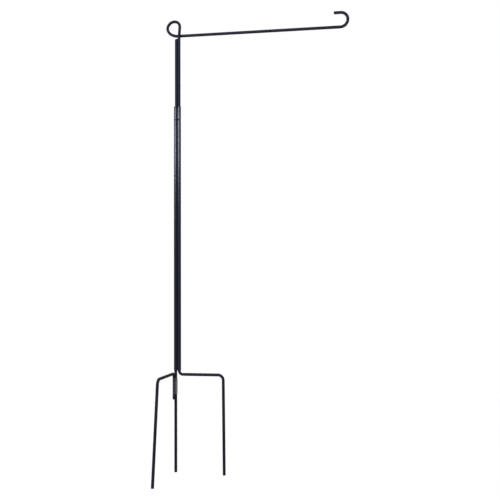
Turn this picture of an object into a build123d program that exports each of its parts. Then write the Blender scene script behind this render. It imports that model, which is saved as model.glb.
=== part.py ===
from build123d import *
import os
from math import cos, radians, sin, tan

# Garden flag stand of bent steel rod and thin tube, in millimetres.
# Origin: centre of the centre prong's tip, at ground level.
# +Z runs up the pole, +X runs out along the banner arm, and the swivel prong points to -Y.

# Stock
ROD_D = 6.35
TUBE_D = 8.0
RUNNING_CLEARANCE = 0.08    # radial, a rod inside a tube
PAINT_GAP = 0.1             # between neighbours that are welded side by side
ROD_EDGE = 0.5              # chamfer on every sawn rod end
TUBE_ROUND = 0.7            # rounding of a tube's outer end edges

# Heights above the ground
TUBE_BOTTOM = 218.8
TUBE_TOP = 771.5
COLLAR_LENGTH = 30.2
BRACE_TOP = 953.5

# Depth of the two rods that drop into the pole tubes
SHANK_DEPTH = 60.0
PEG_DEPTH = 35.0
PLUG_DEPTH = 45.0           # of the prongs in the lower ends of the tubes

# Banner arm: bends are (radius, degrees), all turning the same way after the shank's lean
LEAN_CORNER = 960.0         # height where the shank starts to lean out, towards +X
LEAN = 4.7                  # degrees
LEAN_BEND = 60.0
LOOP_START = 980.2
ARM_DROOP = 2.6             # degrees below level
LOOP_BENDS = [(13.6, 78.0), (16.7, 69.0), (12.4, 69.1), (19.8, 29.0)]
LAST_LOOP_BEND = 31.4       # radius of the bend that leads into the arm
BEND_FILL = 0.98            # each arc's radius is this share of its bend's, to leave a short run between arcs
LOOP_SIDESTEP = ROD_D + 0.2  # the arm passes this far behind the shank
ARM_RUN = 365.3             # straight run from the loop to the hook
HOOK_BENDS = [(15.5, 45.0)] * 4
HOOK_TIP_RUN = 14.5

# Prongs
SIDE_BAR_HEIGHT = 210.4
SIDE_BAR_RISE = 1.2         # the bar climbs this much on its way out
SIDE_REACH = 100.2          # from the shank's axis to the leg
SIDE_SPLAY = 0.4            # degrees
SIDE_ROOT_BEND = 8.2        # the bend starts just under the tube
FRONT_BAR_HEIGHT = 212.8
FRONT_REACH = 105.0         # from the pole's axis to the leg
FRONT_SPLAY = 5.5
FRONT_CORNER_X = 1.1        # the hand-bent leg stands slightly askew
FRONT_TIP_X = -1.3
STUB_TURN = 9.6             # degrees round the sleeve from its front, towards -X
ROOT_BEND = 9.0             # bend radius of the swivel prong next to the pole
CORNER_BEND = 11.5          # bend radius above each leg
STUB_END = 157.0
SLEEVE_BOTTOM = 168.5
SLEEVE_TOP = 203.2

# Weld beads
RING_BEAD = 0.75            # width of the fillet bead round a rod
RING_BEAD_SLOPE = 1.3       # its height over its width
BEAD_ROOT = 0.3             # how far a ring bead reaches into its rod before the cut
TACK_LENGTH = 12.0
TUBE_TACK_HEIGHTS = [234.0, 410.0, 585.0, 758.0]
TUBE_TACK_R = 1.9
TUBE_TACK_Y = 2.1           # how far behind the tubes' axes a tack is centred
BRACE_TACK_HEIGHTS = [815.0, 880.0, 945.0]
BRACE_TACK_R = 1.5
BRACE_TACK_Y = 1.6
BRACE_CAP_R = 2.5           # blob between the brace's top and the shank
BRACE_CAP_SHIFT = 1.8       # from the valley towards the brace's axis
SLEEVE_BEAD_LENGTH = 20.0
SLEEVE_BEAD_R = 1.5
SLEEVE_BEAD_X = 1.8         # either side of the line from the sleeve to the stub
SLEEVE_BEAD_Y = TUBE_D / 2 + 0.4

ROD_R = ROD_D / 2
TUBE_R = TUBE_D / 2
BORE_R = ROD_R + RUNNING_CLEARANCE
RIGHT_X = TUBE_D + PAINT_GAP                # axis of the right tube and of the shank
BRACE_X = RIGHT_X - ROD_D - PAINT_GAP
COLLAR_TOP = TUBE_TOP + COLLAR_LENGTH
STUB_OFFSET = TUBE_R + ROD_R + PAINT_GAP    # the stub stands against the sleeve


def break_ends(rod):
    """Chamfer both sawn ends of a rod."""
    return chamfer(rod.faces().filter_by(GeomType.PLANE).edges(), ROD_EDGE)


def straight_rod(x, low, high):
    rod = Pos(x, 0, (low + high) / 2) * Cylinder(ROD_R, high - low)
    return break_ends(rod)


def bent_rod(points, radii):
    """Round rod along straight runs joined by tangent arcs."""
    path = FilletPolyline(points, radius=radii)
    section = Plane(origin=path @ 0, z_dir=path % 0) * Circle(ROD_R)
    return break_ends(sweep(section, path=path))


def tube(x, low, high):
    height = high - low
    shell = Cylinder(TUBE_R, height)
    shell = fillet(shell.edges().filter_by(GeomType.CIRCLE), TUBE_ROUND)
    shell -= Cylinder(BORE_R, height)
    return Pos(x, 0, (low + high) / 2) * shell


def bend_corners(x, z, heading, bends):
    """Corners of a row of bends in the XZ plane, then the end point and the end heading."""
    corners = []
    for radius, turn in bends:
        tangent = radius * tan(radians(turn / 2))
        x += tangent * cos(radians(heading))
        z += tangent * sin(radians(heading))
        corners.append((x, z))
        heading += turn
        x += tangent * cos(radians(heading))
        z += tangent * sin(radians(heading))
    return corners, (x, z), heading


def banner_arm():
    """Shank, sideways-stepping loop, arm and hook, bent from one rod."""
    loop_x = RIGHT_X + (LOOP_START - LEAN_CORNER) * tan(radians(LEAN))
    last_turn = 270.0 + LEAN - ARM_DROOP - sum(turn for radius, turn in LOOP_BENDS)
    loop_bends = LOOP_BENDS + [(LAST_LOOP_BEND, last_turn)]
    loop, arm_start, heading = bend_corners(loop_x, LOOP_START, 90.0 - LEAN, loop_bends)
    hook_x = arm_start[0] + ARM_RUN * cos(radians(heading))
    hook_z = arm_start[1] + ARM_RUN * sin(radians(heading))
    hook, tip_start, heading = bend_corners(hook_x, hook_z, heading, HOOK_BENDS)
    tip_x = tip_start[0] + HOOK_TIP_RUN * cos(radians(heading))
    tip_z = tip_start[1] + HOOK_TIP_RUN * sin(radians(heading))

    points = [(RIGHT_X, 0, TUBE_TOP - SHANK_DEPTH), (RIGHT_X, 0, LEAN_CORNER)]
    for step, (x, z) in enumerate(loop):
        points.append((x, LOOP_SIDESTEP * step / (len(loop) - 1), z))
    for x, z in hook + [(tip_x, tip_z)]:
        points.append((x, LOOP_SIDESTEP, z))
    radii = [radius * BEND_FILL for radius, turn in loop_bends + HOOK_BENDS]
    return bent_rod(points, [LEAN_BEND] + radii)


def side_prong():
    """Plug in the right tube, bar along +X and leg to the ground."""
    leg_x = RIGHT_X + SIDE_REACH
    tip_z = ROD_R * sin(radians(SIDE_SPLAY))
    corner_z = SIDE_BAR_HEIGHT + SIDE_BAR_RISE
    tip_x = leg_x + (corner_z - tip_z) * tan(radians(SIDE_SPLAY))
    points = [
        (RIGHT_X, 0, TUBE_BOTTOM + PLUG_DEPTH),
        (RIGHT_X, 0, SIDE_BAR_HEIGHT),
        (leg_x, 0, corner_z),
        (tip_x, 0, tip_z),
    ]
    return bent_rod(points, [SIDE_ROOT_BEND, CORNER_BEND])


def front_prong():
    """Stub beside the sleeve, bar along -Y and leg to the ground."""
    tip_z = ROD_R * sin(radians(FRONT_SPLAY))
    tip_y = -FRONT_REACH - (FRONT_BAR_HEIGHT - tip_z) * tan(radians(FRONT_SPLAY))
    stub_x = -STUB_OFFSET * sin(radians(STUB_TURN))
    stub_y = -STUB_OFFSET * cos(radians(STUB_TURN))
    points = [
        (stub_x, stub_y, STUB_END),
        (stub_x, stub_y, FRONT_BAR_HEIGHT),
        (FRONT_CORNER_X, -FRONT_REACH, FRONT_BAR_HEIGHT),
        (FRONT_TIP_X, tip_y, tip_z),
    ]
    return bent_rod(points, [ROOT_BEND, CORNER_BEND])


def valley_bead(x, y, z, radius, length=TACK_LENGTH):
    """Upright round-ended bead in the valley between two rods or tubes, before they are cut away."""
    bead = Cylinder(radius, length)
    for end in (-length / 2, length / 2):
        bead += Pos(0, 0, end) * Sphere(radius)
    return Pos(x, y, z) * bead


def bar(x, low, high):
    """A tube's outside as a plain solid, which trims the beads laid against it."""
    return Pos(x, 0, (low + high) / 2) * Cylinder(TUBE_R, high - low)


def ring_bead(x, z, side):
    """Fillet bead round an upright rod, above (side 1) or below (side -1) the height z.

    Its inner edge lies inside the rod, which is cut away from it afterwards.
    """
    inner = ROD_R - BEAD_ROOT
    height = side * RING_BEAD_SLOPE * (RING_BEAD + BEAD_ROOT)
    corners = [(inner, 0), (ROD_R + RING_BEAD, 0), (inner, height)]
    ring = revolve(Plane.XZ * make_face(Polyline(corners, close=True)), Axis.Z)
    return Pos(x, 0, z) * ring


arm = banner_arm()
brace = straight_rod(BRACE_X, COLLAR_TOP, BRACE_TOP)
peg = straight_rod(0, TUBE_TOP - PEG_DEPTH, COLLAR_TOP)
left_collar = tube(0, TUBE_TOP, COLLAR_TOP)
right_collar = tube(RIGHT_X, TUBE_TOP, COLLAR_TOP)
left_tube = tube(0, TUBE_BOTTOM, TUBE_TOP)
right_tube = tube(RIGHT_X, TUBE_BOTTOM, TUBE_TOP)
centre = straight_rod(0, 0, TUBE_BOTTOM + PLUG_DEPTH)
side = side_prong()
front = front_prong()
sleeve = tube(0, SLEEVE_BOTTOM, SLEEVE_TOP)

# The welders' side of the pole is its back, where the beads fill the valleys.
pole_bars = bar(0, TUBE_BOTTOM, COLLAR_TOP) + bar(RIGHT_X, TUBE_BOTTOM, COLLAR_TOP)
tube_mid = RIGHT_X / 2
rod_mid = (BRACE_X + RIGHT_X) / 2
brace_welds = [valley_bead(rod_mid, BRACE_TACK_Y, z, BRACE_TACK_R) - arm - brace for z in BRACE_TACK_HEIGHTS]
brace_cap = Pos(rod_mid - BRACE_CAP_SHIFT, 0, BRACE_TOP) * Sphere(BRACE_CAP_R)
brace_welds.append(brace_cap - arm - brace)
tube_welds = [valley_bead(tube_mid, TUBE_TACK_Y, z, TUBE_TACK_R) - pole_bars for z in TUBE_TACK_HEIGHTS]
collar_mid = (TUBE_TOP + COLLAR_TOP) / 2
collar_weld = valley_bead(tube_mid, TUBE_TACK_Y, collar_mid, TUBE_TACK_R) - pole_bars
top_welds = ring_bead(BRACE_X, COLLAR_TOP, 1) + ring_bead(RIGHT_X, COLLAR_TOP, 1) - arm - brace
prong_welds = [
    ring_bead(0, TUBE_BOTTOM, -1) - centre,
    ring_bead(RIGHT_X, TUBE_BOTTOM, -1) - side,
]
sleeve_bar = bar(0, SLEEVE_BOTTOM, SLEEVE_TOP)
sleeve_mid = (SLEEVE_BOTTOM + SLEEVE_TOP) / 2
sleeve_welds = []
for x in (-SLEEVE_BEAD_X, SLEEVE_BEAD_X):
    bead = valley_bead(x, -SLEEVE_BEAD_Y, sleeve_mid, SLEEVE_BEAD_R, SLEEVE_BEAD_LENGTH)
    sleeve_welds.append(Rot(0, 0, -STUB_TURN) * bead - front - sleeve_bar)

NODES = {
    "banner_arm": arm,
    "brace_rod": brace,
    "locator_peg": peg,
    "left_collar": left_collar,
    "right_collar": right_collar,
    "arm_brace_welds": Compound(children=brace_welds),
    "collar_top_welds": top_welds,
    "collar_weld": collar_weld,
    "left_tube": left_tube,
    "right_tube": right_tube,
    "tube_welds": Compound(children=tube_welds),
    "centre_prong": centre,
    "side_prong": side,
    "prong_welds": Compound(children=prong_welds),
    "front_prong": front,
    "prong_sleeve": sleeve,
    "sleeve_welds": Compound(children=sleeve_welds),
}

os.makedirs("parts", exist_ok=True)
for name, shape in NODES.items():
    export_step(shape, f"parts/{name}.step")
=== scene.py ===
from math import asin, ceil, cos, pi, radians, sin, tan

import bpy
from mathutils import Matrix, Vector


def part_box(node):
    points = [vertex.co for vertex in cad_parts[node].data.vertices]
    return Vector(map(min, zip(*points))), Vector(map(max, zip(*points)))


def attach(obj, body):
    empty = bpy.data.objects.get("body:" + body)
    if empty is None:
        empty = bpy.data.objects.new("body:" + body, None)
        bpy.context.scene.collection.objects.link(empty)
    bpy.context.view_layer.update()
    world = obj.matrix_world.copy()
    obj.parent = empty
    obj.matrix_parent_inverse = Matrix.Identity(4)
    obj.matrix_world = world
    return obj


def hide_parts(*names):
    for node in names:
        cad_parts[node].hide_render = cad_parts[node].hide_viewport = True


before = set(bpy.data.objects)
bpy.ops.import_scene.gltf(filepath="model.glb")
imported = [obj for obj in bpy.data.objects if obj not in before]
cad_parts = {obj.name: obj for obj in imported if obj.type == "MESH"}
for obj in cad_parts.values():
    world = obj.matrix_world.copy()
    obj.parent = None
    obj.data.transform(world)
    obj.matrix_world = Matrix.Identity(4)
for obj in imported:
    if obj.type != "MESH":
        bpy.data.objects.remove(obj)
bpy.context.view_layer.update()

# ---------------------------------------------------------------- sizes, in millimetres
MM = 0.001                  # in Blender's metres


def box_mm(node):
    """Lowest and highest corner of a CAD node, in millimetres."""
    return [tuple(c / MM for c in corner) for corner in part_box(node)]


def axis_x(node):
    low, high = box_mm(node)
    return (low[0] + high[0]) / 2


def z_range(node):
    low, high = box_mm(node)
    return low[2], high[2]


PRONG_HIGH = z_range("centre_prong")[1]
ROD_R = (box_mm("centre_prong")[1][0] - box_mm("centre_prong")[0][0]) / 2
TUBE_R = (box_mm("left_tube")[1][0] - box_mm("left_tube")[0][0]) / 2
TUBE_BOTTOM, TUBE_TOP = z_range("left_tube")
COLLAR_TOP = z_range("left_collar")[1]
SLEEVE_BOTTOM, SLEEVE_TOP = z_range("prong_sleeve")
RIGHT_X = axis_x("right_tube")
BRACE_X = axis_x("brace_rod")
BRACE_TOP = z_range("brace_rod")[1]
SHANK_BOTTOM = z_range("banner_arm")[0]

# Ends and fits, as in the CAD source
BORE_R = ROD_R + 0.08
END_ROUND = 0.5
PAINT_GAP = 0.1             # between neighbours that are welded side by side

# The bends, as in the CAD source
BEND_FILL = 0.98            # in the loop and the hook, an arc's radius is this share of its bend's
LEAN_CORNER, LEAN, LEAN_BEND = 960.0, 4.7, 60.0
LOOP_START, ARM_DROOP = 980.2, 2.6
LOOP_BENDS = [(13.6, 78.0), (16.7, 69.0), (12.4, 69.1), (19.8, 29.0)]
LAST_LOOP_BEND = 31.4
LOOP_SIDESTEP = 2 * ROD_R + 0.2
ARM_RUN, HOOK_TIP_RUN = 365.3, 14.5
HOOK_BENDS = [(15.5, 45.0)] * 4
SIDE_BAR_HEIGHT, SIDE_BAR_RISE, SIDE_REACH, SIDE_SPLAY = 210.4, 1.2, 100.2, 0.4
FRONT_BAR_HEIGHT, FRONT_REACH, FRONT_SPLAY = 212.8, 105.0, 5.5
FRONT_CORNER_X, FRONT_TIP_X, STUB_TURN, STUB_END = 1.1, -1.3, 9.6, 157.0
ROOT_BEND, SIDE_ROOT_BEND, CORNER_BEND = 9.0, 8.2, 11.5

# Welds
TACK_LENGTH = 15.0
TUBE_TACKS = [234.0, 410.0, 585.0, 758.0]
BRACE_TACKS = [815.0, 880.0, 945.0]
SLEEVE_WELD = 23.0          # length of the two beads beside the stub
SLEEVE_FILLS = ((1, 52.0), (-1, 36.0))      # side, and degrees of the sleeve that its bead covers

# Detail that is too fine for the CAD: the tubes' ends are rolled in, and their bores' edges broken
LIP_IN, LIP_ALONG = 0.70, 1.5
BORE_EASE, BORE_EDGE = 0.02, 0.12
DISH = 0.04                 # depth of the dip in a sawn end

# Wear, from 0 for fresh paint to 1 for bare metal
LIP_WEAR, MOUTH_WEAR, BORE_WEAR = 0.15, 0.35, 0.1
EDGE_WEAR, RIM_WEAR, FACE_WEAR = 0.75, 0.35, 0.3
PLUGGED_WEAR = 0.55
SWIVEL_WEAR = 0.5
TIP_WEAR, TIP_HEIGHT = 0.30, 14.0           # the prongs' tips, up to this height in mm
# Grey on the stub beside the sleeve: heat tint from its welds, and also a painted reflection of the
# bright sleeve
HEAT_TINT_AND_PAINTED_REFLECTION = 0.70            # the stub beside the sleeve's welds
STUB_REACH = 20.0           # the stub lies nearer the pole than this

# Mesh density
ROD_SIDES = 40
TUBE_SIDES = 56
RUN_STEP = 7.0              # mm between rings on a rod's straight run
TUBE_STEP = RUN_STEP * 1.4  # mm between rings on a tube
BEND_STEP = 4.0             # degrees between rings in a bend
HARD_EDGE = 35.0            # edges sharper than this many degrees are not shaded smooth


# ---------------------------------------------------------------- mesh building
class Shell:
    """Vertices in millimetres, faces, and how worn each vertex is."""

    def __init__(self):
        self.points, self.faces, self.wear = [], [], []

    def ring(self, points, wear):
        first = len(self.points)
        self.points += points
        self.wear += [wear] * len(points)
        return list(range(first, first + len(points)))

    def skin(self, a, b):
        """Quads between two closed rings."""
        count = len(a)
        for i in range(count):
            j = (i + 1) % count
            self.faces.append((a[i], a[j], b[j], b[i]))

    def cap(self, ring, centre, wear, flip):
        self.points.append(centre)
        self.wear.append(wear)
        tip = len(self.points) - 1
        for i in range(len(ring)):
            j = (i + 1) % len(ring)
            self.faces.append((ring[j], ring[i], tip) if flip else (ring[i], ring[j], tip))


def route(points, radii):
    """Stations along straight runs and tangent arcs: place, heading, pull to the arc's centre."""
    points = [Vector(p) for p in points]
    stations = []

    def straight(a, b, heading):
        steps = max(1, ceil((b - a).length / RUN_STEP))
        first = 1 if stations else 0
        for i in range(first, steps + 1):
            stations.append((a.lerp(b, i / steps), heading, Vector()))

    here = points[0]
    for before, corner, after, radius in zip(points, points[1:], points[2:], radii):
        into, out = (corner - before).normalized(), (after - corner).normalized()
        turn = into.angle(out)
        start = corner - into * radius * tan(turn / 2)
        straight(here, start, into)
        inward = (out - into * cos(turn)) / sin(turn)
        steps = max(2, ceil(turn / radians(BEND_STEP)))
        for i in range(1, steps + 1):
            a = turn * i / steps
            place = start + into * radius * sin(a) + inward * radius * (1 - cos(a))
            pull = (inward * cos(a) - into * sin(a)) / radius
            stations.append((place, into * cos(a) + inward * sin(a), pull))
        here = stations[-1][0]
    straight(here, points[-1], (points[-1] - points[-2]).normalized())
    return stations


def smooth_pulls(stations, reach=4.0, window=12):
    """The bends' pulls, eased over the reach in mm, so that a section changes shape gradually.

    No more than window stations are looked at on either side.
    """
    places = [0.0]
    for a, b in zip(stations, stations[1:]):
        places.append(places[-1] + (b[0] - a[0]).length)
    eased = []
    for i, s in enumerate(places):
        total, weight = Vector(), 0.0
        for j in range(max(0, i - window), min(len(places), i + window + 1)):
            w = max(0.0, 1 - abs(places[j] - s) / reach)
            total += stations[j][2] * w
            weight += w
        eased.append(total / weight)
    return eased


def around(count):
    """Angles of a ring's points."""
    return [2 * pi * k / count for k in range(count)]


BEND_SQUASH = 0.10          # share by which a bend flattens the rod, for each ROD_R / bend radius


def rod(shell, points, radii, wear, coating=0.0):
    """Round bar bent along a route, a little flattened in its bends, with eased sawn ends.

    wear gives the wear at a place on its axis, and coating is the depth of extra paint.
    """
    stations = route(points, radii)
    pulls = smooth_pulls(stations)
    side = stations[0][1].orthogonal().normalized()
    last = stations[0][1]
    rings = []
    for i, (place, heading, _) in enumerate(stations):
        side = (last.rotation_difference(heading) @ side).normalized()
        last = heading
        across = heading.cross(side).normalized()
        pull = pulls[i]
        squash = pull.length * ROD_R * BEND_SQUASH
        inward = pull.normalized() if pull.length > 1e-9 else side
        if i == 0 or i == len(stations) - 1:
            place = place + heading * (END_ROUND if i == 0 else -END_ROUND)
        ring = []
        for a in around(ROD_SIDES):
            spoke = (side * cos(a) + across * sin(a)) * (ROD_R + coating)
            spoke -= inward * spoke.dot(inward) * squash
            ring.append(tuple(place + spoke))
        rings.append((shell.ring(ring, wear(place)), place, side, across, heading))
    for a, b in zip(rings, rings[1:]):
        shell.skin(a[0], b[0])
    sawn_end(shell, rings[0], -1, ROD_R + coating)
    sawn_end(shell, rings[-1], 1, ROD_R + coating)


def sawn_end(shell, last_ring, way, radius):
    """Rounds the end over and closes it with a flat that dips very slightly at its centre."""
    ring, place, side, across, heading = last_ring
    outward = heading * way
    flat = radius - END_ROUND
    steps = [(flat + END_ROUND * cos(radians(a)), END_ROUND * sin(radians(a)), EDGE_WEAR)
             for a in (22, 45, 68, 90)]
    steps += [(flat * 0.7, END_ROUND, RIM_WEAR), (flat * 0.35, END_ROUND - DISH * 0.75, FACE_WEAR)]
    for reach, rise, wear in steps:
        turned = [tuple(place + outward * rise + (side * cos(a) + across * sin(a)) * reach)
                  for a in around(ROD_SIDES)]
        nxt = shell.ring(turned, wear)
        if way > 0:
            shell.skin(ring, nxt)
        else:
            shell.skin(nxt, ring)
        ring = nxt
    shell.cap(ring, tuple(place + outward * (END_ROUND - DISH)), FACE_WEAR, way < 0)


def tube(shell, x, low, high):
    """Thin tube with rounded lips and a real bore. Its paint meets that of the tube beside it."""
    outside = TUBE_R + PAINT_GAP / 2
    run = high - low - 2 * LIP_ALONG
    steps = ceil(run / TUBE_STEP)
    outer = [(outside, low + LIP_ALONG + run * i / steps, 0.0) for i in range(steps + 1)]

    def lip(z, way):
        corner = outside - LIP_IN
        arc = []
        for a in (15, 30, 45, 60, 75, 90):
            reach = corner + LIP_IN * cos(radians(a))
            arc.append((reach, z - way * LIP_ALONG * (1 - sin(radians(a))), LIP_WEAR))
        mouth = (BORE_R + BORE_EASE, z - way * BORE_EASE / 2, MOUTH_WEAR)
        return arc + [mouth, (BORE_R, z - way * BORE_EDGE, BORE_WEAR)]

    inner = [(BORE_R, z, w) for _, z, w in reversed(outer)]
    profile = outer + lip(high, 1) + inner + list(reversed(lip(low, -1)))
    rings = []
    for radius, z, worn in profile:
        points = [(x + radius * cos(a), radius * sin(a), z) for a in around(TUBE_SIDES)]
        rings.append(shell.ring(points, worn))
    for a, b in zip(rings, rings[1:] + rings[:1]):
        shell.skin(a, b)


def ease(t):
    t = max(0.0, min(1.0, t))
    return t * t * (3 - 2 * t)


RIPPLE = 1.35               # mm from one weld ripple to the next
VALLEY_RIPPLE, CAP_RIPPLE, RING_RIPPLE = 0.16, 0.10, 0.09       # mm, how high the ripples stand
BEAD_SINK = 0.22            # mm, how far a valley bead's foot lies under the metal's surface
BEAD_STEP = 0.17            # mm between a valley bead's cross-sections
BEAD_RUN_OUT = 2.2          # mm over which its ends die away
END_FILL = 6.0              # degrees of the bar that its very ends cover
BEAD_LOW, BEAD_SWELL = 0.35, 0.75           # mm, its crown near the ends, and what the middle adds
RIPPLE_LAG = 0.28           # mm by which the middle of a ripple runs ahead of its edges
WAVER = 0.05                # slow unevenness, a share of a valley bead's size and mm of a ring bead's
HUMP = 0.16                 # mm by which beads round a rod swell out of a plain fillet
RING_SINK = 0.15            # mm, how far a ring bead reaches into the rod and the tube
CAP_FOOT, CAP_ROOT = 0.35, 0.8              # mm, how deep the blob's foot and its underside lie
CAP_CROWN, CAP_CLIMB, CAP_LIP = 0.75, 1.9, 1.5      # mm, its dome, its climb, its edge on the shank
CAP_BULGE, CAP_WAVER = 0.75, 0.06           # mm, its reach to the shank, and its uneven outline


def ripple(phase):
    """Height of the weld's ripples, 1 on a crest and 0 between two of them."""
    return 1 - abs(2 * (phase % 1.0) - 1) ** 1.6


def valley_section(a, b, radius_a, radius_b, side, toe, rise):
    """Outline of a bead between two upright bars.

    Each point has its place across the crown, from -1 to 1, or None where it lies in the metal.
    """
    along = (b - a).normalized()
    outward = Vector((-along.y, along.x)) * side
    toe_b = asin(min(0.95, radius_a / radius_b * sin(toe)))
    foot_a, foot_b = radius_a - BEAD_SINK, radius_b - BEAD_SINK
    buried = [a + along * foot_a * cos(toe * k / 4) + outward * foot_a * sin(toe * k / 4)
              for k in (0.5, 1, 2, 3, 4)]
    far = [b - along * foot_b * cos(toe_b * k / 4) + outward * foot_b * sin(toe_b * k / 4)
           for k in (4, 3, 2, 1)]
    crown = []
    for k in range(1, 12):
        lift = BEAD_SINK * 0.6 + rise * sin(pi * k / 12) ** 0.75
        crown.append((buried[-1].lerp(far[0], k / 12) + outward * lift, k / 6 - 1))
    return [(p, None) for p in buried] + crown + [(p, None) for p in far]


def valley_bead(shell, a, b, z, length, radii, side=1, fill=44.0, seed=0.0):
    """Rippled bead in the valley between upright bars at a and b, to the left (side 1) of a to b.

    It covers the first bar for fill degrees, measured from the line between the two.
    """
    steps = int(length / BEAD_STEP)
    rings = []
    for i in range(steps + 1):
        s = i / steps
        height = z + (s - 0.5) * length
        edge = min(s, 1 - s) * length
        body = ease(edge / BEAD_RUN_OUT) ** 0.7
        scallop = VALLEY_RIPPLE * ripple(s * length / RIPPLE + seed)
        drift = 1 + WAVER * sin(2.1 * s * length / RIPPLE + seed * 5)
        toe = radians(END_FILL + (fill - END_FILL) * body * drift)
        rise = (BEAD_LOW + BEAD_SWELL * body) * drift * (0.45 + 0.55 * body) + scallop * body
        points = []
        for place, round_crown in valley_section(Vector(a), Vector(b), *radii, side, toe, rise):
            lag = 0.0 if round_crown is None else RIPPLE_LAG * body * (1 - round_crown ** 2)
            points.append((place.x, place.y, height + lag))
        rings.append(shell.ring(points, 0.0))
    for below, above in zip(rings, rings[1:]):
        if side > 0:
            shell.skin(above, below)
        else:
            shell.skin(below, above)
    for ring, flip in ((rings[0], side < 0), (rings[-1], side > 0)):
        middle = [sum(shell.points[v][k] for v in ring) / len(ring) for k in range(3)]
        shell.cap(ring, tuple(middle), 0.0, flip)


def cap_bead(shell, x, z, wall_x, count=64, levels=12):
    """Weld on a rod's sawn top that climbs the rod beside it, whose near side is at wall_x."""
    def place(a, share):
        """Point of the blob at angle a, share of the way out from its middle to its outline."""
        towards = max(0.0, cos(a))
        reach = ROD_R * 0.985 + CAP_BULGE * towards ** 3 + CAP_WAVER * sin(7 * a) * share
        px, py = share * reach * cos(a), share * reach * sin(a)
        climb = ease((px + ROD_R) / (wall_x - x + ROD_R + 0.7))
        dome = (CAP_CROWN + CAP_CLIMB * climb) * (1 - share ** 3.2) ** 0.6
        dome = dome * (1 - 0.35 * (py / ROD_R) ** 2)
        scallop = CAP_RIPPLE * ripple(px / RIPPLE) * (1 - share ** 4)
        lip = CAP_LIP * towards ** 4 * share ** 4
        return (x + px, py, z - CAP_FOOT + dome + scallop + lip)

    rings = []
    for i in range(levels):
        share = 1 - i / levels
        rings.append(shell.ring([place(a, share) for a in around(count)], 0.0))
    for outer, inner in zip(rings, rings[1:]):
        shell.skin(outer, inner)
    shell.cap(rings[-1], place(0.0, 0.0), 0.0, False)
    shell.cap(rings[0], (x, 0.0, z - CAP_ROOT), 0.0, True)


def ring_bead(shell, x, z, side, seed, out=0.75, up=0.98, count=108, profile=9):
    """Rippled fillet round an upright rod at a tube's end, on the end (side 1) or below it (-1)."""
    ripples = round(2 * pi * (ROD_R + out / 2) / RIPPLE)
    inner = ROD_R - RING_SINK
    foot = ROD_R + out * 0.9
    rings = []
    for k, a in enumerate(around(count)):
        lump = RING_RIPPLE * ripple(k / count * ripples + seed) + WAVER * sin(3 * a + seed * 7)
        points = []
        for i in range(profile):
            t = (pi / 2) * i / (profile - 1)
            reach = (out + lump) * (1 - sin(t)) ** 0.9
            rise = (up + lump) * (1 - cos(t)) ** 0.9
            hump = HUMP * sin(2 * t)
            r = ROD_R + reach + hump
            points.append((x + r * cos(a), r * sin(a), z + side * (rise + hump)))
        for r, h in ((inner, up), (inner, -RING_SINK), (foot, -RING_SINK)):
            points.append((x + r * cos(a), r * sin(a), z + side * h))
        rings.append(shell.ring(points, 0.0))
    for a, b in zip(rings, rings[1:] + rings[:1]):
        if side > 0:
            shell.skin(b, a)
        else:
            shell.skin(a, b)


def piece(name, shell, body, node, material):
    """Turns a shell into a mesh piece that stands for one CAD node."""
    mesh = bpy.data.meshes.new(name)
    mesh.from_pydata([tuple(c * MM for c in p) for p in shell.points], [], shell.faces)
    mesh.validate()
    # on the stub, "wear" also carries a painted reflection of the sleeve beside it
    worn = mesh.attributes.new("wear", "FLOAT", "POINT")
    worn.data.foreach_set("value", shell.wear)
    mesh.materials.append(material)
    mesh.shade_smooth()
    mesh.set_sharp_from_angle(angle=radians(HARD_EDGE))
    obj = bpy.data.objects.new(name, mesh)
    bpy.context.scene.collection.objects.link(obj)
    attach(obj, body)
    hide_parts(node)


# ---------------------------------------------------------------- materials
# Noise scales, per metre
CLOUD, FLECK, SCUFF, SHINE, PEEL, GRAIN = 38.0, 5200.0, 900.0, 45.0, 950.0, 3600.0
MOTTLE, STAIN, PITS = 420.0, 150.0, 1500.0

# Linear colours
RUBBED_COAT = (0.085, 0.083, 0.088)
BRIGHT_STEEL = (0.52, 0.48, 0.48)
STEEL_DARK, STEEL_PALE = (0.34, 0.285, 0.295), (0.50, 0.435, 0.44)
STEEL_STAIN = (0.10, 0.078, 0.070)
FLECK_GAIN = 2.2            # how much brighter the coat's flecks are than its pale colour

# Depths of the bump, in metres
COAT_BUMP, STEEL_BUMP = 0.00005, 0.00006


def node(tree, kind, **values):
    made = tree.nodes.new(kind)
    for key, value in values.items():
        if key in made.inputs:
            made.inputs[key].default_value = value
        else:
            setattr(made, key, value)
    return made


def noise(tree, coordinates, scale, detail=2.0, roughness=0.5):
    made = node(tree, "ShaderNodeTexNoise", Scale=scale, Detail=detail, Roughness=roughness)
    tree.links.new(coordinates, made.inputs["Vector"])
    return made.outputs["Fac"]


def spread(tree, value, low, high, to_low, to_high):
    ends = {"From Min": low, "From Max": high, "To Min": to_low, "To Max": to_high}
    made = node(tree, "ShaderNodeMapRange", **ends)
    tree.links.new(value, made.inputs["Value"])
    return made.outputs["Result"]


def arithmetic(tree, operation, a, b):
    made = node(tree, "ShaderNodeMath", operation=operation)
    for socket, value in zip(made.inputs, (a, b)):
        if isinstance(value, (int, float)):
            socket.default_value = value
        else:
            tree.links.new(value, socket)
    return made.outputs[0]


def blend_colour(tree, share, a, b):
    made = node(tree, "ShaderNodeMix", data_type="RGBA")
    tree.links.new(share, made.inputs["Factor"])
    colours = [s for s in made.inputs if s.type == "RGBA"]
    for socket, value in zip(colours, (a, b)):
        if isinstance(value, tuple):
            socket.default_value = (*value, 1.0)
        else:
            tree.links.new(value, socket)
    return [s for s in made.outputs if s.type == "RGBA"][0]


def start_material(name):
    """New material: itself, its node tree, its shader and its place coordinates."""
    material = bpy.data.materials.new(name)
    material.use_nodes = True
    tree = material.node_tree
    place = node(tree, "ShaderNodeTexCoord").outputs["Object"]
    return material, tree, tree.nodes["Principled BSDF"], place


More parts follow.
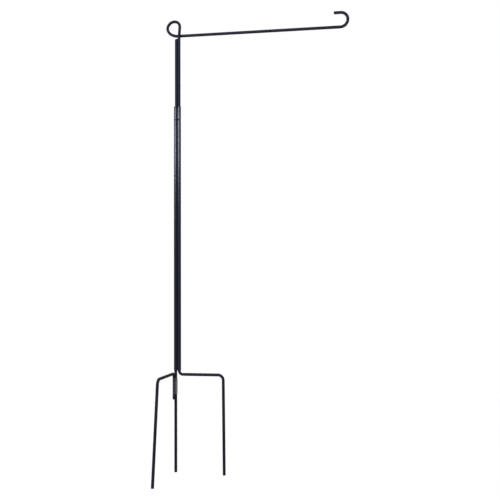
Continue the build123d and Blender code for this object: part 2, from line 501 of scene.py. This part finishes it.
def coat(name, colour, pale, rough, smooth, peel, specular):
    """Powder coat: clouded, faintly flecked, with orange peel, rubbed where "wear" says so."""
    material, tree, shader, place = start_material(name)
    worn = node(tree, "ShaderNodeAttribute", attribute_name="wear").outputs["Fac"]

    cloud = spread(tree, noise(tree, place, CLOUD, 3.0, 0.6), 0.3, 0.7, 0.0, 1.0)
    fleck = spread(tree, noise(tree, place, FLECK, 1.0), 0.62, 0.80, 0.0, 0.20)
    body = blend_colour(tree, cloud, colour, pale)
    body = blend_colour(tree, fleck, body, tuple(c * FLECK_GAIN for c in pale))

    scuff = spread(tree, noise(tree, place, SCUFF, 4.0, 0.65), 0.35, 0.75, 0.0, 1.0)
    # Where "wear" carries the stub's grey beside the sleeve, this lighter rubbed coat is partly a
    # painted reflection of the sleeve
    rubbed = arithmetic(tree, "MULTIPLY", worn, arithmetic(tree, "ADD", scuff, 0.55))
    rubbed = spread(tree, rubbed, 0.12, 0.95, 0.0, 1.0)
    body = blend_colour(tree, rubbed, body, RUBBED_COAT)
    bare = spread(tree, arithmetic(tree, "MULTIPLY", worn, scuff), 0.60, 0.72, 0.0, 1.0)
    body = blend_colour(tree, bare, body, BRIGHT_STEEL)
    tree.links.new(body, shader.inputs["Base Color"])
    tree.links.new(arithmetic(tree, "MULTIPLY", bare, 0.9), shader.inputs["Metallic"])

    shine = spread(tree, noise(tree, place, SHINE, 3.0, 0.55), 0.3, 0.7, smooth, rough)
    shine = arithmetic(tree, "SUBTRACT", shine, arithmetic(tree, "MULTIPLY", rubbed, 0.08))
    tree.links.new(shine, shader.inputs["Roughness"])
    shader.inputs["Specular IOR Level"].default_value = specular

    skin = noise(tree, place, PEEL, 2.0, 0.5)
    grain = noise(tree, place, GRAIN, 1.0, 0.5)
    height = arithmetic(tree, "ADD", skin, arithmetic(tree, "MULTIPLY", grain, 0.35))
    bump = node(tree, "ShaderNodeBump", Strength=peel, Distance=COAT_BUMP)
    tree.links.new(height, bump.inputs["Height"])
    tree.links.new(bump.outputs["Normal"], shader.inputs["Normal"])
    return material


def raw_steel(name):
    """Bare steel gone dull: warm grey, mottled and finely pitted."""
    material, tree, shader, place = start_material(name)
    mottle = spread(tree, noise(tree, place, MOTTLE, 5.0, 0.62), 0.32, 0.68, 0.0, 1.0)
    body = blend_colour(tree, mottle, STEEL_DARK, STEEL_PALE)
    stain = spread(tree, noise(tree, place, STAIN, 3.0, 0.6), 0.58, 0.74, 0.0, 0.7)
    tree.links.new(blend_colour(tree, stain, body, STEEL_STAIN), shader.inputs["Base Color"])
    tree.links.new(spread(tree, mottle, 0.0, 1.0, 0.55, 0.44), shader.inputs["Roughness"])
    shader.inputs["Metallic"].default_value = 0.45
    bump = node(tree, "ShaderNodeBump", Strength=0.35, Distance=STEEL_BUMP)
    tree.links.new(noise(tree, place, PITS, 3.0, 0.6), bump.inputs["Height"])
    tree.links.new(bump.outputs["Normal"], shader.inputs["Normal"])
    return material


ROD_COAT = coat("matte_black_coat", (0.0150, 0.0155, 0.0245), (0.0172, 0.0178, 0.0278),
                rough=0.66, smooth=0.60, peel=0.20, specular=0.20)
TUBE_COAT = coat("satin_black_coat", (0.0150, 0.0155, 0.0240), (0.0172, 0.0178, 0.0275),
                 rough=0.23, smooth=0.19, peel=0.12, specular=0.50)
SLEEVE_STEEL = raw_steel("dull_steel")
WELD_COAT = coat("weld_black_coat", (0.0120, 0.0122, 0.0195), (0.0150, 0.0150, 0.0230),
                 rough=0.50, smooth=0.42, peel=0.40, specular=0.35)


# ---------------------------------------------------------------- routes
def bend_corners(x, z, heading, bends):
    """Corners of a row of (radius, degrees) bends, then the end point and the end heading."""
    corners = []
    for radius, turn in bends:
        tangent = radius * tan(radians(turn / 2))
        x += tangent * cos(radians(heading))
        z += tangent * sin(radians(heading))
        corners.append((x, z))
        heading += turn
        x += tangent * cos(radians(heading))
        z += tangent * sin(radians(heading))
    return corners, (x, z), heading


def arm_route():
    loop_x = RIGHT_X + (LOOP_START - LEAN_CORNER) * tan(radians(LEAN))
    last_turn = 270.0 + LEAN - ARM_DROOP - sum(turn for _, turn in LOOP_BENDS)
    loop_bends = LOOP_BENDS + [(LAST_LOOP_BEND, last_turn)]
    loop, start, heading = bend_corners(loop_x, LOOP_START, 90.0 - LEAN, loop_bends)
    hook_x = start[0] + ARM_RUN * cos(radians(heading))
    hook_z = start[1] + ARM_RUN * sin(radians(heading))
    hook, tip, heading = bend_corners(hook_x, hook_z, heading, HOOK_BENDS)
    tip_x = tip[0] + HOOK_TIP_RUN * cos(radians(heading))
    tip_z = tip[1] + HOOK_TIP_RUN * sin(radians(heading))
    points = [(RIGHT_X, 0, SHANK_BOTTOM), (RIGHT_X, 0, LEAN_CORNER)]
    for step, (x, z) in enumerate(loop):
        points.append((x, LOOP_SIDESTEP * step / (len(loop) - 1), z))
    points += [(x, LOOP_SIDESTEP, z) for x, z in hook + [(tip_x, tip_z)]]
    return points, [LEAN_BEND] + [radius * BEND_FILL for radius, _ in loop_bends + HOOK_BENDS]


def side_route():
    leg_x = RIGHT_X + SIDE_REACH
    tip_z = ROD_R * sin(radians(SIDE_SPLAY))
    corner_z = SIDE_BAR_HEIGHT + SIDE_BAR_RISE
    tip_x = leg_x + (corner_z - tip_z) * tan(radians(SIDE_SPLAY))
    points = [
        (RIGHT_X, 0, PRONG_HIGH),
        (RIGHT_X, 0, SIDE_BAR_HEIGHT),
        (leg_x, 0, corner_z),
        (tip_x, 0, tip_z),
    ]
    return points, [SIDE_ROOT_BEND, CORNER_BEND]


def stub_place():
    """Axis of the swivel prong's stub, which stands against the sleeve."""
    offset = TUBE_R + ROD_R + PAINT_GAP
    return (-offset * sin(radians(STUB_TURN)), -offset * cos(radians(STUB_TURN)))


def front_route():
    tip_z = ROD_R * sin(radians(FRONT_SPLAY))
    tip_y = -FRONT_REACH - (FRONT_BAR_HEIGHT - tip_z) * tan(radians(FRONT_SPLAY))
    stub = stub_place()
    points = [
        (*stub, STUB_END),
        (*stub, FRONT_BAR_HEIGHT),
        (FRONT_CORNER_X, -FRONT_REACH, FRONT_BAR_HEIGHT),
        (FRONT_TIP_X, tip_y, tip_z),
    ]
    return points, [ROOT_BEND, CORNER_BEND]


# ---------------------------------------------------------------- pieces
def no_wear(place):
    return 0.0


def below(z, top, fade):
    """1 well below a height and 0 above it, with a soft edge fade millimetres deep."""
    return ease((top - z) / fade)


def round_sleeve(z, under, over, fade):
    """1 beside the sleeve and 0 away from it; it goes under and over the sleeve by so many mm."""
    return ease((z - SLEEVE_BOTTOM + under) / fade) * ease((SLEEVE_TOP + over - z) / fade)


def plugged_wear(place):
    """Rub marks on the part of a rod that slides in its tube."""
    return PLUGGED_WEAR * below(place.z, TUBE_TOP, fade=3.0)


def leg_wear(place):
    """The lowest few millimetres of a prong, rubbed by the ground."""
    return TIP_WEAR * below(place.z, TIP_HEIGHT, fade=12.0)


def swivel_wear(place):
    """The centre prong where the sleeve turns on it, and its tip."""
    rubbed = round_sleeve(place.z, under=3.0, over=5.0, fade=4.0)
    return SWIVEL_WEAR * rubbed + leg_wear(place)


def stub_tint_and_painted_reflection(place):
    """The stub beside the sleeve, greyed as heat tint from its welds and as a painted reflection of
    the bright sleeve.
    """
    on_stub = place.y > -STUB_REACH
    # beside the sleeve the stub's coat is lightened: partly heat tint, partly a painted reflection of
    # the sleeve
    heat_and_reflection_mask = round_sleeve(place.z, under=2.0, over=2.0, fade=3.0)
    return HEAT_TINT_AND_PAINTED_REFLECTION * heat_and_reflection_mask * on_stub + leg_wear(place)


def build_arm():
    shell = Shell()
    points, radii = arm_route()
    rod(shell, points, radii, plugged_wear)
    piece("banner_arm_rod", shell, "arm_section", "banner_arm", ROD_COAT)


def build_straight(name, cad, body, wear, coating=0.0):
    low, high = z_range(cad)
    shell = Shell()
    x = axis_x(cad)
    rod(shell, [(x, 0, low), (x, 0, high)], (), wear, coating)
    piece(name, shell, body, cad, ROD_COAT)


def build_tube(name, cad, body, material=TUBE_COAT):
    low, high = z_range(cad)
    shell = Shell()
    tube(shell, axis_x(cad), low, high)
    piece(name, shell, body, cad, material)


def build_prong(name, cad, body, points, radii, wear=leg_wear):
    shell = Shell()
    rod(shell, points, radii, wear)
    piece(name, shell, body, cad, ROD_COAT)


def build_tube_welds():
    shell = Shell()
    for i, z in enumerate(TUBE_TACKS):
        valley_bead(shell, (0, 0), (RIGHT_X, 0), z, TACK_LENGTH, (TUBE_R, TUBE_R), seed=0.37 * i)
    piece("tube_tack_welds", shell, "pole", "tube_welds", WELD_COAT)


def build_collar_weld():
    shell = Shell()
    middle = (TUBE_TOP + COLLAR_TOP) / 2
    valley_bead(shell, (0, 0), (RIGHT_X, 0), middle, TACK_LENGTH, (TUBE_R, TUBE_R), seed=0.8)
    piece("collar_tack_weld", shell, "arm_section", "collar_weld", WELD_COAT)


def build_brace_welds():
    shell = Shell()
    for i, z in enumerate(BRACE_TACKS):
        seed = 0.21 + 0.41 * i
        valley_bead(shell, (BRACE_X, 0), (RIGHT_X, 0), z, TACK_LENGTH, (ROD_R, ROD_R), seed=seed)
    cap_bead(shell, BRACE_X, BRACE_TOP, RIGHT_X - ROD_R)
    piece("brace_tack_welds", shell, "arm_section", "arm_brace_welds", WELD_COAT)


def build_top_welds():
    shell = Shell()
    ring_bead(shell, BRACE_X, COLLAR_TOP, 1, seed=0.2)
    ring_bead(shell, RIGHT_X, COLLAR_TOP, 1, seed=0.6)
    piece("collar_top_beads", shell, "arm_section", "collar_top_welds", WELD_COAT)


def build_prong_welds():
    shell = Shell()
    ring_bead(shell, 0.0, TUBE_BOTTOM, -1, seed=0.4)
    ring_bead(shell, RIGHT_X, TUBE_BOTTOM, -1, seed=0.9)
    piece("tube_foot_beads", shell, "pole", "prong_welds", WELD_COAT)


def build_sleeve_welds():
    shell = Shell()
    middle = (SLEEVE_BOTTOM + SLEEVE_TOP) / 2
    stub = stub_place()
    widths = (TUBE_R, ROD_R)
    for side, fill in SLEEVE_FILLS:
        valley_bead(shell, (0, 0), stub, middle, SLEEVE_WELD, widths, side, fill, 0.3 * side)
    piece("sleeve_beads", shell, "swivel_prong", "sleeve_welds", SLEEVE_STEEL)


build_arm()
build_straight("brace", "brace_rod", "arm_section", no_wear, PAINT_GAP)
build_straight("peg", "locator_peg", "arm_section", plugged_wear)
build_straight("straight_prong", "centre_prong", "pole", swivel_wear)
build_tube("tube_left", "left_tube", "pole")
build_tube("tube_right", "right_tube", "pole")
build_tube("collar_left", "left_collar", "arm_section")
build_tube("collar_right", "right_collar", "arm_section")
build_tube("swivel_sleeve", "prong_sleeve", "swivel_prong", SLEEVE_STEEL)
build_prong("side_prong_rod", "side_prong", "pole", *side_route())
build_prong("front_prong_rod", "front_prong", "swivel_prong", *front_route(), stub_tint_and_painted_reflection)
build_tube_welds()
build_collar_weld()
build_brace_welds()
build_top_welds()
build_prong_welds()
build_sleeve_welds()


# ---------------------------------------------------------------- stage, in metres
CAMERA_AZIMUTH, CAMERA_PITCH, CAMERA_ROLL = 14.827, 2.90, 0.331     # degrees
CAMERA_PLACE = (0.5417, -1.4066, 0.4052)
LENS, SENSOR = 49.0, 36.0   # mm
CAMERA_BEARING = -69.0      # degrees from +X towards +Y, seen from the pole

# Linear colours of the room, as the metal sees it
ROOM_LOW, ROOM_HIGH, BACKDROP = (0.15, 0.15, 0.17), (0.34, 0.35, 0.40), (0.90, 0.93, 1.00)
ROOM_FADE = (-0.05, 0.45)       # rise of a ray, from the low colour to the high one
BACKDROP_FADE = (0.55, 0.95)    # how nearly a ray points at its middle, from none of it to all
SKIRTING = (-0.30, -0.18)       # rise of a ray, from below the backdrop's foot to above it

FLOOR_GREY = (0.04, 0.04, 0.04, 1)
FLOOR_TO_METAL, FLOOR_TO_EYE = 0.36, 0.99       # strength of its own light

AIM_SHARE = 0.85            # the lights aim at the pole, at this share of their own height


def build_camera():
    azimuth, pitch, roll = radians(CAMERA_AZIMUTH), radians(CAMERA_PITCH), radians(CAMERA_ROLL)
    data = bpy.data.cameras.new("camera")
    data.lens, data.sensor_width = LENS, SENSOR
    camera = bpy.data.objects.new("camera", data)
    bpy.context.scene.collection.objects.link(camera)
    right = Vector((cos(azimuth), sin(azimuth), 0))
    ahead = Vector((-sin(azimuth) * cos(pitch), cos(azimuth) * cos(pitch), sin(pitch)))
    up = right.cross(ahead)
    level, upright = right * cos(roll) - up * sin(roll), up * cos(roll) + right * sin(roll)
    matrix = Matrix((level, upright, -ahead)).transposed().to_4x4()
    matrix.translation = Vector(CAMERA_PLACE)
    camera.matrix_world = matrix
    bpy.context.scene.camera = camera


def build_world():
    """White to the eye. To the metal, a dim room, paler above, with a bright backdrop behind."""
    world = bpy.data.worlds.new("studio")
    bpy.context.scene.world = world
    world.use_nodes = True
    tree = world.node_tree
    tree.nodes.clear()
    direction = node(tree, "ShaderNodeTexCoord").outputs["Generated"]
    split = node(tree, "ShaderNodeSeparateXYZ")
    tree.links.new(direction, split.inputs[0])
    height = spread(tree, split.outputs["Z"], *ROOM_FADE, 0.0, 1.0)
    room = blend_colour(tree, height, ROOM_LOW, ROOM_HIGH)
    away = radians(CAMERA_BEARING + 180.0)
    behind = arithmetic(tree, "ADD", arithmetic(tree, "MULTIPLY", split.outputs["X"], cos(away)),
                        arithmetic(tree, "MULTIPLY", split.outputs["Y"], sin(away)))
    behind = spread(tree, behind, *BACKDROP_FADE, 0.0, 1.0)
    above = spread(tree, split.outputs["Z"], *SKIRTING, 0.0, 1.0)
    behind = arithmetic(tree, "MULTIPLY", behind, above)
    room = blend_colour(tree, behind, room, BACKDROP)
    eye = node(tree, "ShaderNodeLightPath").outputs["Is Camera Ray"]
    seen = blend_colour(tree, eye, room, (1.0, 1.0, 1.0))
    background = node(tree, "ShaderNodeBackground", Strength=1.0)
    tree.links.new(seen, background.inputs["Color"])
    output = node(tree, "ShaderNodeOutputWorld")
    tree.links.new(background.outputs[0], output.inputs["Surface"])


def build_floor(radius=1.45, count=96):
    """Pale disc: nearly white by its own light to the eye, and dimmer to the metal."""
    mesh = bpy.data.meshes.new("floor")
    rim = [(radius * cos(a), radius * sin(a), 0) for a in around(count)]
    mesh.from_pydata(rim, [], [list(range(count))])
    material = bpy.data.materials.new("pale_floor")
    material.use_nodes = True
    tree = material.node_tree
    shader = tree.nodes["Principled BSDF"]
    shader.inputs["Base Color"].default_value = FLOOR_GREY
    shader.inputs["Roughness"].default_value = 1.0
    shader.inputs["Specular IOR Level"].default_value = 0.0
    shader.inputs["Emission Color"].default_value = (1, 1, 1, 1)
    eye = node(tree, "ShaderNodeLightPath").outputs["Is Camera Ray"]
    glow = spread(tree, eye, 0.0, 1.0, FLOOR_TO_METAL, FLOOR_TO_EYE)
    tree.links.new(glow, shader.inputs["Emission Strength"])
    mesh.materials.append(material)
    floor = bpy.data.objects.new("floor", mesh)
    bpy.context.scene.collection.objects.link(floor)


def softbox(name, turn, distance, height, width, tall, power, colour):
    """Area light facing the pole, turned in degrees from the camera's bearing; metres and watts."""
    bearing = radians(CAMERA_BEARING + turn)
    data = bpy.data.lights.new(name, "AREA")
    data.shape, data.size, data.size_y = "RECTANGLE", width, tall
    data.energy, data.color = power, colour
    light = bpy.data.objects.new(name, data)
    bpy.context.scene.collection.objects.link(light)
    place = Vector((distance * cos(bearing), distance * sin(bearing), height))
    aim = Vector((0, 0, height * AIM_SHARE)) - place
    turned = aim.to_track_quat("-Z", "Y").to_matrix().to_4x4()
    light.matrix_world = Matrix.Translation(place) @ turned
    light.visible_camera = False


build_camera()
build_world()
build_floor()
softbox("key_left", -34.0, 1.2, 1.03, 0.64, 0.34, 10.0, (0.82, 0.96, 1.28))
softbox("key_front", 15.0, 1.2, 1.04, 0.45, 0.34, 1.5, (0.98, 0.97, 1.06))
softbox("wrap_left", -92.0, 1.3, 1.04, 1.0, 0.34, 1.4, (0.95, 0.95, 1.08))
softbox("back_right", 150.0, 1.8, 1.9, 1.2, 0.7, 12.0, (1.0, 1.0, 1.0))
bpy.context.scene.view_settings.view_transform = "Standard"
